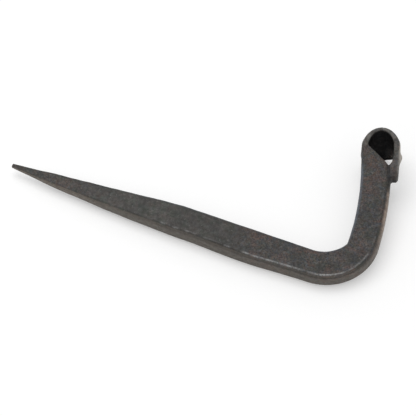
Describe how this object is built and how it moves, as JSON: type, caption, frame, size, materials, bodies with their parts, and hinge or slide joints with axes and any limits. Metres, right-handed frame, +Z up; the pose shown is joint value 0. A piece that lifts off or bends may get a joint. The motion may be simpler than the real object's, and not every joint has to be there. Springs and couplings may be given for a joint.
{
  "type": "forged l hook",
  "caption": "Hand-forged blackened iron L hook with a tapered drive spike and a small rolled eye at the end of its short leg",
  "frame": {"origin": "On the surface the hook lies on, under the middle of its bounding box", "axes": "+X runs along the long leg from the spike's tip towards the bend, +Y is the side the short leg turns to, +Z is up. The plane of the L leans about 8 degrees, with the eye end raised, as the hook comes to rest on its bar and the lower edge of its eye"},
  "size_m": [0.1526, 0.0726, 0.0202],
  "materials": {
    "blackened_iron": "forge-blackened iron with fine scale, satin"
  },
  "bodies": {
    "root": {"l_hook": "blackened_iron"}
  },
  "joints": []
}
